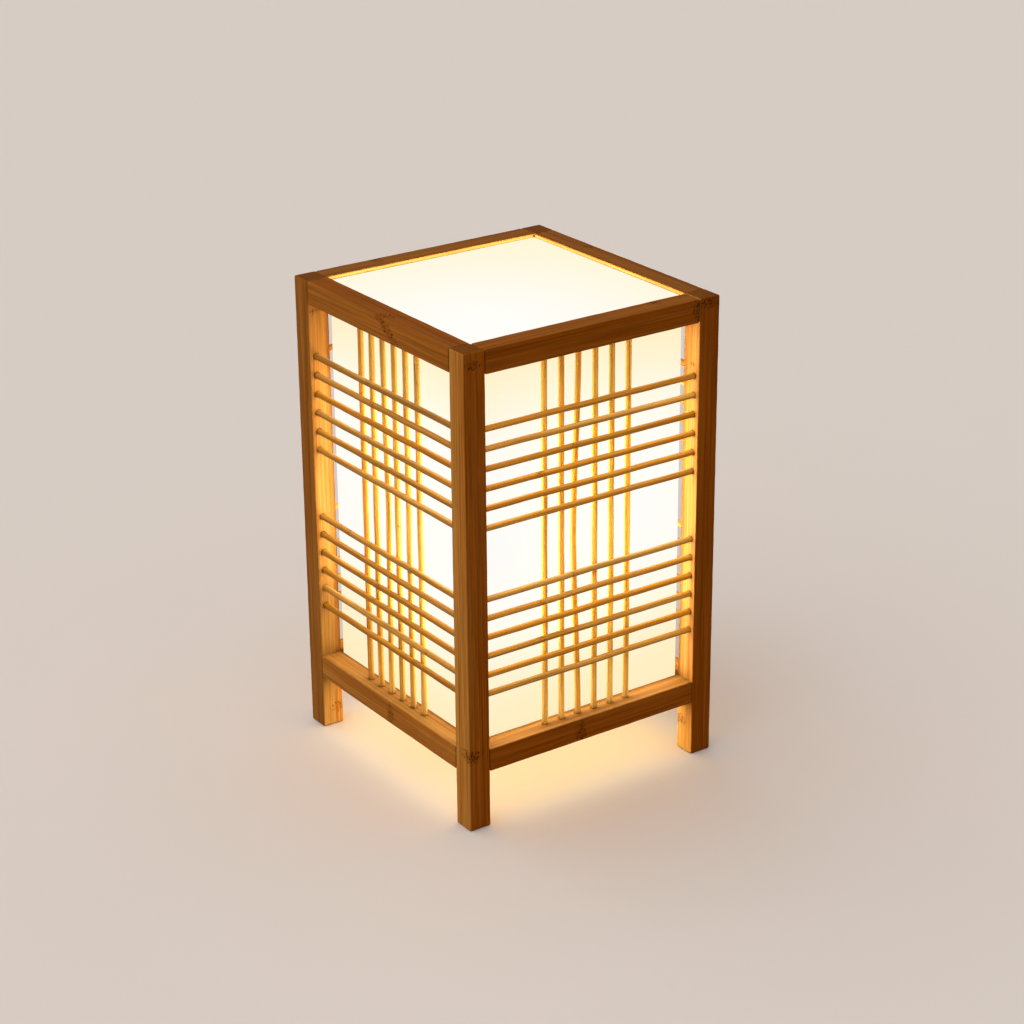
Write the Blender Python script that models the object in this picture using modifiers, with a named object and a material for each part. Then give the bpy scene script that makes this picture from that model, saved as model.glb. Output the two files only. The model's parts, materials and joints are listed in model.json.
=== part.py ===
"""A square bamboo table lamp, lit from inside.

Four posts and eight rails of square bamboo stock are joined by stub tenons. Each side carries a lattice
of thin round rods seated in blind holes, with a white sheet against the rails behind it, and a fifth sheet
closes the top. A bar between two lower rails carries a screw lampholder and its bulb on the lamp's axis.

Metres, +Z up. The origin is on the floor at the middle of the square plan, and the front faces -Y.
"""

import math

import bmesh
import bpy
from mathutils import Matrix, Vector

# Frame
BODY_WIDTH = 0.180  # outside of the posts, both ways
BODY_HEIGHT = 0.296  # floor to the tops of the posts
STOCK = 0.0145  # square stock of the posts and rails
LEG_CLEARANCE = 0.0355  # floor to the underside of the lower rails
EDGE_EASE = 0.0005  # chamfer along the edges of the stock
FOOT_CHAMFER = 0.001  # chamfer round the foot of a post
FIT_GAP = 0.0003  # clearance between pieces that seat in or on each other
CUT_PAST = 0.002  # how far a cutter stands out of the face that it cuts

# Stub tenons on the rails
TENON_SETBACK = 0.003  # outer face to the tenon's cheek
TENON_THICKNESS = 0.005
TENON_HEIGHT = 0.008
TENON_WALL = 0.0008  # bamboo left between the two mortises of a post

# Rod lattices
ROD_DIAMETER = 0.0038
ROD_SIDES = 8
HOLE_SIDES = 6
ROD_PITCH = 0.012
BAND_RODS = 6  # level rods in each of the two bands
BAND_GAP = 0.044  # between the inner rods of the two bands
UPRIGHT_RODS = 6
ROD_SETBACK = 0.0049  # outer face to the axis of the level rods
ROD_BITE = 0.0003  # how far crossing rods are let into each other
ROD_SEAT = 0.004  # length of a rod's end in its blind hole
BOWED_ROD = 2  # the upright that is not quite straight, counted from the left
BOW_RINGS = 5
FRONT_BOW = -0.0034  # sideways at mid height, positive to the right seen from outside
LEFT_BOW = 0.0018
STRAIGHT = 0.0

# White sheets
SHEET_THICKNESS = 0.001
SHEET_CORNER_GAP = 0.0011  # side edge to the plane of the next sheet's inner face
TOP_SHEET_THICKNESS = 0.0015
TOP_SHEET_GAP = 0.0006  # edge of the top sheet to the rails
TOP_RECESS = 0.0023  # tops of the rails to the top sheet

# Bar under the lampholder
BAR_WIDTH = 0.030
BAR_THICKNESS = 0.008
BAR_LIFT = 0.0025  # underside of the rails to the underside of the bar
MORTISE_WALL = 0.0006  # bamboo left between the bar's mortise and the rod holes

# Hollow threaded nipple that the cord comes up through, with its nut and washer
NIPPLE_DIAMETER = 0.010
NIPPLE_WALL = 0.0015
NIPPLE_TAIL = 0.002  # below the nut
NIPPLE_STAND = 0.0015  # above the floor of the holder's cap
NUT_WALL = 0.0017  # hole to the flats
NUT_HEIGHT = 0.003
NUT_SIDES = 6
WASHER_RIM = 0.0047  # hole to the edge
WASHER_THICKNESS = 0.001

# Lampholder for a 27 mm screw cap
HOLDER_FLARE = 0.0053  # bore round the screw shell to the outside of the holder
CAP_HEIGHT = 0.020
CAP_SHOULDER = 0.012
CAP_NECK_DIAMETER = 0.018
CAP_NECK_HEIGHT = 0.005
CAP_FLOOR = 0.007
CAP_WALL = 0.0035
SHELL_LIP = 0.0017  # top of the screw shell to the mouth of the holder
SHELL_SKIRT_HEIGHT = 0.008
SHELL_WALL = 0.002
INSERT_FLANGE = 0.003
INSERT_CLEARANCE = 0.0008  # underside of the insert to the shoulder in the cap
SCREW_GAP = 0.0005  # bulb's cap to the bore of the screw shell
SCREW_SHELL_WALL = 0.0007
SCREW_SHELL_HEIGHT = 0.022
SCREW_SHELL_EYE = 0.020
CONTACT_MARGIN = 0.002  # ends of the contact to the eye of the screw shell
CONTACT_CROWN = 0.006
CONTACT_RISE = 0.0025
CONTACT_WIDTH = 0.005
CONTACT_THICKNESS = 0.0006

# Bulb
TIP_DIAMETER = 0.0096
TIP_HEIGHT = 0.002
INSULATOR_FOOT_DIAMETER = 0.014
INSULATOR_DIAMETER = 0.0236
INSULATOR_HEIGHT = 0.005
INSULATOR_RIM = 0.001
BULB_CAP_DIAMETER = 0.0262
BULB_CAP_HEIGHT = 0.021
BULB_CAP_WALL = 0.0006
BULB_CAP_EYE = 0.018
BULB_CAP_CHAMFER = 0.0015
HOUSING_PLUG = 0.006  # length of the housing's neck inside the cap
HOUSING_HEIGHT = 0.036
HOUSING_WALL = 0.0015
HOUSING_STEPS = 3
BOARD_THICKNESS = 0.0016
BOARD_DEPTH = 0.003  # rim of the housing to the ledge that carries the board
BOARD_LEDGE = 0.003
GLOBE_DIAMETER = 0.060
GLOBE_SWELL = 0.002  # rim of the housing to the widest line of the globe
GLOBE_WALL = 0.0012
GLOBE_STEPS = 6

TURN_STEPS = 16  # sides of a turned piece
SMOOTH_ANGLE = math.radians(35)

# Places that follow from the sizes above
FACE = BODY_WIDTH / 2  # lamp's axis to the outer face of a side
OPENING = FACE - STOCK  # lamp's axis to the inner face of the posts and rails
TENON_LENGTH = STOCK - TENON_SETBACK - TENON_THICKNESS - 2 * FIT_GAP - TENON_WALL
TOP_RAIL_FOOT = BODY_HEIGHT - STOCK
BAY_FOOT = LEG_CLEARANCE + STOCK
BAY_MIDDLE = (BAY_FOOT + TOP_RAIL_FOOT) / 2
UPRIGHT_SETBACK = ROD_SETBACK + ROD_DIAMETER - ROD_BITE
BAR_FOOT = LEG_CLEARANCE + BAR_LIFT
BAR_TOP = BAR_FOOT + BAR_THICKNESS
BAR_SEAT = STOCK - UPRIGHT_SETBACK - ROD_DIAMETER / 2 - 2 * FIT_GAP - MORTISE_WALL
SHEET_FOOT = BAR_TOP + FIT_GAP
TOP_SHEET_FOOT = BODY_HEIGHT - TOP_RECESS - TOP_SHEET_THICKNESS
NIPPLE_EYE = NIPPLE_DIAMETER / 2 + FIT_GAP  # radius of the holes that the nipple passes
SCREW_BORE = BULB_CAP_DIAMETER / 2 + SCREW_GAP
SCREW_RADIUS = SCREW_BORE + SCREW_SHELL_WALL
SHELL_BORE = SCREW_RADIUS + FIT_GAP
HOLDER_RADIUS = SHELL_BORE + HOLDER_FLARE
HOLDER_FOOT = BAR_TOP + FIT_GAP
INSERT_FOOT = HOLDER_FOOT + CAP_HEIGHT + FIT_GAP
CONTACT_FOOT = INSERT_FOOT + INSERT_FLANGE + FIT_GAP
BULB_FOOT = CONTACT_FOOT + CONTACT_RISE + CONTACT_THICKNESS + FIT_GAP

SIDES = (("front", 0.0), ("right", 90.0), ("back", 180.0), ("left", -90.0))
CORNERS = (("front_left", 0.0), ("front_right", 90.0), ("back_right", 180.0), ("back_left", -90.0))


def clear_scene():
    """Removes what the scene holds and gives the lamp's two collections."""
    for item in list(bpy.data.objects):
        bpy.data.objects.remove(item, do_unlink=True)
    groups = []
    for name in ("bamboo_table_lamp", "lamp_cutters"):
        group = bpy.data.collections.new(name)
        bpy.context.scene.collection.children.link(group)
        groups.append(group)
    return groups


def finish(name, colour, roughness, metallic=0.0):
    """A plain Principled material."""
    material = bpy.data.materials.new(name)
    material.use_nodes = True
    shader = material.node_tree.nodes["Principled BSDF"]
    shader.inputs["Base Color"].default_value = (*colour, 1.0)
    shader.inputs["Roughness"].default_value = roughness
    shader.inputs["Metallic"].default_value = metallic
    return material


LAMP, CUTTERS = clear_scene()
BAMBOO = finish("caramel_bamboo", (0.40, 0.19, 0.05), 0.45)
ROD_BAMBOO = finish("rod_bamboo", (0.55, 0.30, 0.10), 0.5)
WHITE_SHEET = finish("white_sheet", (0.92, 0.90, 0.84), 0.6)
HOLDER_PLASTIC = finish("holder_plastic", (0.03, 0.03, 0.03), 0.4)
CERAMIC = finish("ceramic", (0.85, 0.83, 0.78), 0.35)
BRASS = finish("brass", (0.75, 0.55, 0.22), 0.3, 1.0)
STEEL = finish("steel", (0.62, 0.62, 0.62), 0.3, 1.0)
BULB_PLASTIC = finish("bulb_plastic", (0.85, 0.85, 0.83), 0.4)
CIRCUIT_BOARD = finish("circuit_board", (0.80, 0.82, 0.80), 0.5)
OPAL = finish("opal", (0.95, 0.92, 0.84), 0.5)


def new_object(name, mesh, group, material=None):
    """Puts a mesh in a collection under a name."""
    item = bpy.data.objects.new(name, mesh)
    group.objects.link(item)
    if material:
        item.data.materials.clear()
        item.data.materials.append(material)
    return item


def mesh_from(bm, name):
    """Turns a bmesh into a mesh."""
    mesh = bpy.data.meshes.new(name)
    bm.to_mesh(mesh)
    bm.free()
    return mesh


def cutter(bm, name):
    """A guide that another piece is cut by or joined with."""
    item = new_object(name, mesh_from(bm, name), CUTTERS)
    item.hide_render = True
    item.display_type = "WIRE"
    return item


def shape_with(item, operation, other):
    """Adds one Boolean step to a piece."""
    step = item.modifiers.new(other.name, "BOOLEAN")
    step.operation = operation
    step.solver = "EXACT"
    step.object = other


def baked(item):
    """The mesh of a piece with its modifiers applied; the piece itself is removed."""
    bpy.context.view_layer.update()
    graph = bpy.context.evaluated_depsgraph_get()
    mesh = bpy.data.meshes.new_from_object(item.evaluated_get(graph), depsgraph=graph)
    bpy.data.objects.remove(item)
    return mesh


def add_block(bm, low, high):
    """Adds a box between two corners."""
    low, high = Vector(low), Vector(high)
    place = Matrix.Translation((low + high) / 2) @ Matrix.Diagonal((*(high - low), 1.0))
    return bmesh.ops.create_cube(bm, size=1.0, matrix=place)["verts"]


def ease_edges(bm, axis):
    """Chamfers every edge that runs along one axis."""
    runs = {edge: (edge.verts[1].co - edge.verts[0].co).normalized() for edge in bm.edges}
    edges = [edge for edge, run in runs.items() if abs(run[axis]) > 0.99]
    bmesh.ops.bevel(bm, geom=edges, offset=EDGE_EASE, segments=1, affect="EDGES")


def add_rod(bm, start, end, across, sides):
    """Adds a straight faceted rod whose flats face along the axes."""
    start, end = Vector(start), Vector(end)
    run = end - start
    radius = across / 2 / math.cos(math.pi / sides)
    turn = run.to_track_quat("Z", "Y").to_matrix().to_4x4() @ Matrix.Rotation(math.pi / sides, 4, "Z")
    place = Matrix.Translation((start + end) / 2) @ turn
    made = bmesh.ops.create_cone(bm, cap_ends=True, segments=sides, radius1=radius, radius2=radius,
                                 depth=run.length, matrix=place)
    return made["verts"]


def level_heights():
    """Heights of the level rods: two bands, mirrored about the middle of the bay."""
    steps = [BAND_GAP / 2 + index * ROD_PITCH for index in range(BAND_RODS)]
    return sorted(BAY_MIDDLE + side * step for side in (-1, 1) for step in steps)


def upright_places():
    """Places of the upright rods along a side, about its middle."""
    return [(index - (UPRIGHT_RODS - 1) / 2) * ROD_PITCH for index in range(UPRIGHT_RODS)]


def post_mesh():
    """The post at the front left corner: rod holes and mortises on its two inner sides."""
    centre = Vector((-FACE + STOCK / 2, -FACE + STOCK / 2, 0.0))
    bm = bmesh.new()
    add_block(bm, (-FACE, -FACE, FOOT_CHAMFER), (-OPENING, -OPENING, BODY_HEIGHT - EDGE_EASE))
    ease_edges(bm, 2)
    bm.faces.ensure_lookup_table()
    for direction, chamfer in ((-1, FOOT_CHAMFER), (1, EDGE_EASE)):
        end = next(face for face in bm.faces if face.normal.z * direction > 0.99)
        bmesh.ops.inset_individual(bm, faces=[end], thickness=0.0, depth=0.0)
        shrink = 1 - chamfer / (STOCK / 2)
        for vert in end.verts:
            vert.co.xy = centre.xy + (vert.co.xy - centre.xy) * shrink
            vert.co.z += direction * chamfer
    post = new_object("post", mesh_from(bm, "post"), CUTTERS)

    cuts = bmesh.new()
    mouth = -OPENING + CUT_PAST
    seat = -OPENING - ROD_SEAT - FIT_GAP
    line = -FACE + ROD_SETBACK
    hole = ROD_DIAMETER + 2 * FIT_GAP
    for height in level_heights():
        add_rod(cuts, (mouth, line, height), (seat, line, height), hole, HOLE_SIDES)
        add_rod(cuts, (line, mouth, height), (line, seat, height), hole, HOLE_SIDES)
    cheek = (-FACE + TENON_SETBACK - FIT_GAP, -FACE + TENON_SETBACK + TENON_THICKNESS + FIT_GAP)
    bottom = -OPENING - TENON_LENGTH - FIT_GAP
    for foot in (LEG_CLEARANCE, TOP_RAIL_FOOT):
        low = foot + (STOCK - TENON_HEIGHT) / 2 - FIT_GAP
        high = low + TENON_HEIGHT + 2 * FIT_GAP
        add_block(cuts, (bottom, cheek[0], low), (mouth, cheek[1], high))
        add_block(cuts, (cheek[0], bottom, low), (cheek[1], mouth, high))
    shape_with(post, "DIFFERENCE", cutter(cuts, "post_cutter"))
    return baked(post)


def rail_mesh(name, foot, rod_face, rod_way, has_bar_mortise):
    """A front rail with a tenon at each end and rod holes in the face towards the bay."""
    bm = bmesh.new()
    shoulder = OPENING - FIT_GAP
    add_block(bm, (-shoulder, -FACE, foot), (shoulder, -OPENING, foot + STOCK))
    ease_edges(bm, 0)
    rail = new_object(name, mesh_from(bm, name), CUTTERS)

    tenons = bmesh.new()
    tip = OPENING + TENON_LENGTH
    low = foot + (STOCK - TENON_HEIGHT) / 2
    cheek = -FACE + TENON_SETBACK
    add_block(tenons, (-tip, cheek, low), (tip, cheek + TENON_THICKNESS, low + TENON_HEIGHT))
    shape_with(rail, "UNION", cutter(tenons, name + "_tenons"))

    cuts = bmesh.new()
    line = -FACE + UPRIGHT_SETBACK
    hole = ROD_DIAMETER + 2 * FIT_GAP
    for place in upright_places():
        mouth = (place, line, rod_face + rod_way * CUT_PAST)
        seat = (place, line, rod_face - rod_way * (ROD_SEAT + FIT_GAP))
        add_rod(cuts, mouth, seat, hole, HOLE_SIDES)
    if has_bar_mortise:
        half = BAR_WIDTH / 2 + FIT_GAP
        bottom = -OPENING - BAR_SEAT - FIT_GAP
        add_block(cuts, (-half, bottom, BAR_FOOT - FIT_GAP), (half, -OPENING + CUT_PAST, BAR_TOP + FIT_GAP))
    shape_with(rail, "DIFFERENCE", cutter(cuts, name + "_cutter"))
    return baked(rail)


def lattice_mesh(name, bow):
    """The front lattice: level rods in two bands, with upright rods let into them from behind."""
    levels = bmesh.new()
    reach = OPENING + ROD_SEAT
    line = -FACE + ROD_SETBACK
    for height in level_heights():
        add_rod(levels, (-reach, line, height), (reach, line, height), ROD_DIAMETER, ROD_SIDES)
    lattice = new_object(name, mesh_from(levels, name), CUTTERS)

    uprights = bmesh.new()
    line = -FACE + UPRIGHT_SETBACK
    low, high = BAY_FOOT - ROD_SEAT, TOP_RAIL_FOOT + ROD_SEAT
    for index, place in enumerate(upright_places()):
        verts = add_rod(uprights, (place, line, low), (place, line, high), ROD_DIAMETER, ROD_SIDES)
        if index == BOWED_ROD and bow != STRAIGHT:
            bow_rod(uprights, verts, bow)
    shape_with(lattice, "UNION", cutter(uprights, name + "_uprights"))
    return baked(lattice)


def bow_rod(bm, verts, bow):
    """Bends an upright sideways by bow times a squared sine, so that its ends stay straight."""
    edges = {edge for vert in verts for edge in vert.link_edges}
    long_edges = [edge for edge in edges if abs(edge.verts[1].co.z - edge.verts[0].co.z) > ROD_DIAMETER]
    made = bmesh.ops.subdivide_edges(bm, edges=long_edges, cuts=BOW_RINGS, use_grid_fill=True)
    for vert in (part for part in made["geom_inner"] if isinstance(part, bmesh.types.BMVert)):
        along = (vert.co.z - BAY_FOOT) / (TOP_RAIL_FOOT - BAY_FOOT)
        vert.co.x += bow * math.sin(math.pi * min(max(along, 0.0), 1.0)) ** 2


def make_frame():
    """Posts, rails and lattices: one mesh for each kind, turned about the lamp's axis."""
    post = post_mesh()
    for corner, angle in CORNERS:
        new_object("post_" + corner, post, LAMP, BAMBOO).rotation_euler.z = math.radians(angle)
    top_rail = rail_mesh("top_rail", TOP_RAIL_FOOT, TOP_RAIL_FOOT, -1, False)
    plain_rail = rail_mesh("plain_bottom_rail", LEG_CLEARANCE, BAY_FOOT, 1, False)
    bar_rail = rail_mesh("bar_bottom_rail", LEG_CLEARANCE, BAY_FOOT, 1, True)
    straight = lattice_mesh("straight_lattice", STRAIGHT)
    bottom_rails = {"front": plain_rail, "right": bar_rail, "back": plain_rail, "left": bar_rail}
    lattices = {"front": lattice_mesh("front_lattice", FRONT_BOW), "right": straight, "back": straight,
                "left": lattice_mesh("left_lattice", LEFT_BOW)}
    for side, angle in SIDES:
        turn = math.radians(angle)
        new_object("top_rail_" + side, top_rail, LAMP, BAMBOO).rotation_euler.z = turn
        new_object("bottom_rail_" + side, bottom_rails[side], LAMP, BAMBOO).rotation_euler.z = turn
        new_object("lattice_" + side, lattices[side], LAMP, ROD_BAMBOO).rotation_euler.z = turn


def make_sheets():
    """Four side sheets against the inner faces of the rails, and a top sheet on their upper edges."""
    outer = OPENING - FIT_GAP
    inner = outer - SHEET_THICKNESS
    half = inner - SHEET_CORNER_GAP
    bm = bmesh.new()
    add_block(bm, (-half, -outer, SHEET_FOOT), (half, -inner, TOP_SHEET_FOOT - FIT_GAP))
    side_sheet = mesh_from(bm, "side_sheet")
    for side, angle in SIDES:
        new_object("sheet_" + side, side_sheet, LAMP, WHITE_SHEET).rotation_euler.z = math.radians(angle)
    bm = bmesh.new()
    reach = OPENING - TOP_SHEET_GAP
    add_block(bm, (-reach, -reach, TOP_SHEET_FOOT), (reach, reach, TOP_SHEET_FOOT + TOP_SHEET_THICKNESS))
    new_object("top_sheet", mesh_from(bm, "top_sheet"), LAMP, WHITE_SHEET)


def turned(name, outline, closed, material, foot, parent=None):
    """Spins (radius, height) points about the lamp's axis and stands the piece at a height."""
    mesh = bpy.data.meshes.new(name)
    count = len(outline)
    edges = [(index, (index + 1) % count) for index in range(count if closed else count - 1)]
    mesh.from_pydata([(radius, 0.0, height) for radius, height in outline], edges, [])
    profile = new_object(name + "_profile", mesh, CUTTERS)
    spin = profile.modifiers.new("spin", "SCREW")
    spin.steps = TURN_STEPS
    spin.render_steps = TURN_STEPS
    spin.use_merge_vertices = True
    spin.merge_threshold = 0.00001
    solid = baked(profile)
    solid.shade_smooth()
    solid.set_sharp_from_angle(angle=SMOOTH_ANGLE)
    item = new_object(name, solid, LAMP, material)
    item.location.z = foot
    item.parent = parent
    return item


def ring(outer, inner, height):
    """Outline of a plain ring, its foot at height 0."""
    return [(outer, height), (outer, 0.0), (inner, 0.0), (inner, height)]


def arc(radius, centre, start, end, steps):
    """Points along a circle about the axis, angles measured from straight up."""
    angles = [start + (end - start) * index / steps for index in range(steps + 1)]
    return [(radius * math.sin(angle), centre + radius * math.cos(angle)) for angle in angles]


def make_bar():
    """The bar between two lower rails, and the nipple, washer and nut that clamp the holder to it."""
    bm = bmesh.new()
    reach = OPENING + BAR_SEAT
    add_block(bm, (-reach, -BAR_WIDTH / 2, BAR_FOOT), (reach, BAR_WIDTH / 2, BAR_TOP))
    ease_edges(bm, 0)
    bar = new_object("holder_bar", mesh_from(bm, "holder_bar"), LAMP, BAMBOO)
    hole = bmesh.new()
    add_rod(hole, (0.0, 0.0, BAR_FOOT - CUT_PAST), (0.0, 0.0, BAR_TOP + CUT_PAST), 2 * NIPPLE_EYE, TURN_STEPS)
    shape_with(bar, "DIFFERENCE", cutter(hole, "nipple_hole"))

    washer_foot = BAR_FOOT - FIT_GAP - WASHER_THICKNESS
    nut_foot = washer_foot - FIT_GAP - NUT_HEIGHT
    washer = ring(NIPPLE_EYE + WASHER_RIM, NIPPLE_EYE, WASHER_THICKNESS)
    turned("nut_washer", washer, True, STEEL, washer_foot)
    bm = bmesh.new()
    nut_top = nut_foot + NUT_HEIGHT
    add_rod(bm, (0.0, 0.0, nut_foot), (0.0, 0.0, nut_top), 2 * (NIPPLE_EYE + NUT_WALL), NUT_SIDES)
    nut = new_object("lock_nut", mesh_from(bm, "lock_nut"), LAMP, STEEL)
    hole = bmesh.new()
    add_rod(hole, (0.0, 0.0, nut_foot - CUT_PAST), (0.0, 0.0, nut_top + CUT_PAST), 2 * NIPPLE_EYE, TURN_STEPS)
    shape_with(nut, "DIFFERENCE", cutter(hole, "nut_hole"))
    nipple_foot = nut_foot - NIPPLE_TAIL
    nipple_height = HOLDER_FOOT + CAP_FLOOR + NIPPLE_STAND - nipple_foot
    nipple_radius = NIPPLE_DIAMETER / 2
    nipple = ring(nipple_radius, nipple_radius - NIPPLE_WALL, nipple_height)
    turned("threaded_nipple", nipple, True, STEEL, nipple_foot)


def make_holder():
    """Lampholder: a cap on the nipple, an insert with the contacts, and a shell round the screw shell."""
    neck = CAP_NECK_DIAMETER / 2
    cap_bore = HOLDER_RADIUS - CAP_WALL
    inner_shoulder = CAP_SHOULDER + CAP_FLOOR - CAP_NECK_HEIGHT
    cap = [(HOLDER_RADIUS, CAP_HEIGHT), (HOLDER_RADIUS, CAP_SHOULDER), (neck, CAP_NECK_HEIGHT), (neck, 0.0),
           (NIPPLE_EYE, 0.0), (NIPPLE_EYE, CAP_FLOOR), (cap_bore, inner_shoulder), (cap_bore, CAP_HEIGHT)]
    turned("holder_cap", cap, True, HOLDER_PLASTIC, HOLDER_FOOT)

    flange = HOLDER_RADIUS - SHELL_WALL - FIT_GAP
    boss = cap_bore - FIT_GAP
    underside = inner_shoulder + INSERT_CLEARANCE - CAP_HEIGHT - FIT_GAP
    insert = [(0.0, INSERT_FLANGE), (flange, INSERT_FLANGE), (flange, 0.0), (boss, 0.0),
              (boss, underside), (0.0, underside)]
    turned("holder_insert", insert, False, CERAMIC, INSERT_FOOT)

    eye = SCREW_SHELL_EYE / 2
    screw = [(SCREW_RADIUS, SCREW_SHELL_HEIGHT), (SCREW_RADIUS, 0.0), (eye, 0.0), (eye, SCREW_SHELL_WALL),
             (SCREW_BORE, SCREW_SHELL_WALL), (SCREW_BORE, SCREW_SHELL_HEIGHT)]
    turned("screw_shell", screw, True, BRASS, CONTACT_FOOT)

    skirt = flange + FIT_GAP
    ledge = INSERT_FLANGE + FIT_GAP
    mouth = ledge + SCREW_SHELL_HEIGHT + SHELL_LIP
    shell = [(SHELL_BORE + SHELL_WALL, mouth), (HOLDER_RADIUS, SHELL_SKIRT_HEIGHT), (HOLDER_RADIUS, 0.0),
             (skirt, 0.0), (skirt, ledge), (SHELL_BORE, ledge), (SHELL_BORE, mouth)]
    turned("holder_shell", shell, True, HOLDER_PLASTIC, INSERT_FOOT)
    make_contact()


def make_contact():
    """The spring contact under the bulb's tip: a bridge bent from strip, standing on the insert."""
    half_span = SCREW_SHELL_EYE / 2 - CONTACT_MARGIN
    half_crown = CONTACT_CROWN / 2
    bend = (half_span + half_crown) / 2
    path = [(-half_span, 0.0), (-bend, 0.0), (-half_crown, CONTACT_RISE), (half_crown, CONTACT_RISE),
            (bend, 0.0), (half_span, 0.0)]
    corners = [(along, side * CONTACT_WIDTH / 2, height) for along, height in path for side in (-1, 1)]
    strips = [(index, index + 2, index + 3, index + 1) for index in range(0, len(corners) - 2, 2)]
    mesh = bpy.data.meshes.new("centre_contact")
    mesh.from_pydata(corners, [], strips)
    contact = new_object("centre_contact", mesh, LAMP, BRASS)
    contact.location.z = CONTACT_FOOT
    wall = contact.modifiers.new("wall", "SOLIDIFY")
    wall.thickness = CONTACT_THICKNESS
    wall.offset = 1.0


def make_bulb():
    """Bulb on its screw axis: tip, insulator, screw cap, housing, board and opal globe."""
    axis = bpy.data.objects.new("bulb_axis", None)
    LAMP.objects.link(axis)
    axis.location.z = BULB_FOOT
    tip = TIP_DIAMETER / 2
    shoulder = TIP_HEIGHT / 2
    button = [(0.0, TIP_HEIGHT), (tip, TIP_HEIGHT), (tip, shoulder), (tip - shoulder, 0.0), (0.0, 0.0)]
    turned("bulb_contact", button, False, STEEL, 0.0, axis)

    insulator_foot = TIP_HEIGHT + FIT_GAP
    rim = INSULATOR_HEIGHT - INSULATOR_RIM
    insulator = [(0.0, INSULATOR_HEIGHT), (INSULATOR_DIAMETER / 2, INSULATOR_HEIGHT),
                 (INSULATOR_DIAMETER / 2, rim), (INSULATOR_FOOT_DIAMETER / 2, 0.0), (0.0, 0.0)]
    turned("bulb_insulator", insulator, False, HOLDER_PLASTIC, insulator_foot, axis)

    cap_foot = insulator_foot + INSULATOR_HEIGHT + FIT_GAP
    cap_radius = BULB_CAP_DIAMETER / 2
    cap_bore = cap_radius - BULB_CAP_WALL
    foot_radius = cap_radius - BULB_CAP_CHAMFER
    cap = [(cap_radius, BULB_CAP_HEIGHT), (cap_radius, BULB_CAP_CHAMFER), (foot_radius, 0.0),
           (BULB_CAP_EYE / 2, 0.0), (BULB_CAP_EYE / 2, BULB_CAP_WALL), (foot_radius, BULB_CAP_WALL),
           (cap_bore, BULB_CAP_CHAMFER + BULB_CAP_WALL), (cap_bore, BULB_CAP_HEIGHT)]
    turned("bulb_cap", cap, True, STEEL, cap_foot, axis)

    housing_foot = cap_foot + BULB_CAP_HEIGHT + FIT_GAP
    plug = cap_bore - FIT_GAP
    rim = GLOBE_DIAMETER / 2 - GLOBE_SWELL
    pocket = rim - HOUSING_WALL
    ledge = HOUSING_HEIGHT - BOARD_DEPTH
    flare = [(cap_radius + (rim - cap_radius) * math.sin(math.pi / 2 * step / HOUSING_STEPS),
              HOUSING_HEIGHT * step / HOUSING_STEPS) for step in range(HOUSING_STEPS, -1, -1)]
    inside = [(plug - HOUSING_WALL, -HOUSING_PLUG), (plug - HOUSING_WALL, HOUSING_WALL),
              (pocket - BOARD_LEDGE, ledge), (pocket, ledge), (pocket, HOUSING_HEIGHT)]
    turned("bulb_housing", flare + [(plug, 0.0), (plug, -HOUSING_PLUG)] + inside, True, BULB_PLASTIC,
           housing_foot, axis)

    board = pocket - FIT_GAP
    disc = [(0.0, BOARD_THICKNESS), (board, BOARD_THICKNESS), (board, 0.0), (0.0, 0.0)]
    turned("led_board", disc, False, CIRCUIT_BOARD, housing_foot + ledge + FIT_GAP, axis)

    globe = GLOBE_DIAMETER / 2
    inner_globe = globe - GLOBE_WALL
    centre = math.sqrt(globe ** 2 - rim ** 2)
    outer_end = math.pi - math.asin(rim / globe)
    inner_end = math.acos(-centre / inner_globe)
    outside = arc(globe, centre, 0.0, outer_end, GLOBE_STEPS)
    inside = arc(inner_globe, centre, inner_end, 0.0, GLOBE_STEPS)
    turned("bulb_globe", outside + inside, False, OPAL, housing_foot + HOUSING_HEIGHT + FIT_GAP, axis)


make_frame()
make_sheets()
make_bar()
make_holder()
make_bulb()
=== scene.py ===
"""Looks of a square bamboo table lamp, lit from inside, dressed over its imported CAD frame.

Every piece is a grid of points from a formula: rounded sticks, round rods, turned rings and thin plates.
The colours are shader nodes that read Object coordinates or the piece's own attributes.
Metres, +Z up, front towards -Y.
"""

import json
import math

import bpy
import numpy as np
from mathutils import Matrix, Vector

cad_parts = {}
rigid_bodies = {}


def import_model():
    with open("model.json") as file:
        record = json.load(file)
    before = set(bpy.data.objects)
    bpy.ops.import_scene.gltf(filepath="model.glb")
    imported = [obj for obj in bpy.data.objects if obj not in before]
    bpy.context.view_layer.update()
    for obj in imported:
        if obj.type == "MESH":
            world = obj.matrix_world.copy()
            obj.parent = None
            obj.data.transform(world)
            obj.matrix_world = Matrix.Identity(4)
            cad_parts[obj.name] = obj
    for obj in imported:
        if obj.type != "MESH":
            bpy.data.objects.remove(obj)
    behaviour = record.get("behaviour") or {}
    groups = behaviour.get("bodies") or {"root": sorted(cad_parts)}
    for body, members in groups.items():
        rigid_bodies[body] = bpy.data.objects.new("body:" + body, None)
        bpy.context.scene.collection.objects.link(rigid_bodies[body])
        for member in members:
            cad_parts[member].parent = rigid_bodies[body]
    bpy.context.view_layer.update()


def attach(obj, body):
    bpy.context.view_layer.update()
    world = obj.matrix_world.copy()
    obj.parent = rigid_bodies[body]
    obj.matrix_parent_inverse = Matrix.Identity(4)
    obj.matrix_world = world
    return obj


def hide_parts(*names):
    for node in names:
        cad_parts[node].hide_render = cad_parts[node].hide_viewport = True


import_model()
chance = np.random.default_rng(11)

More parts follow.
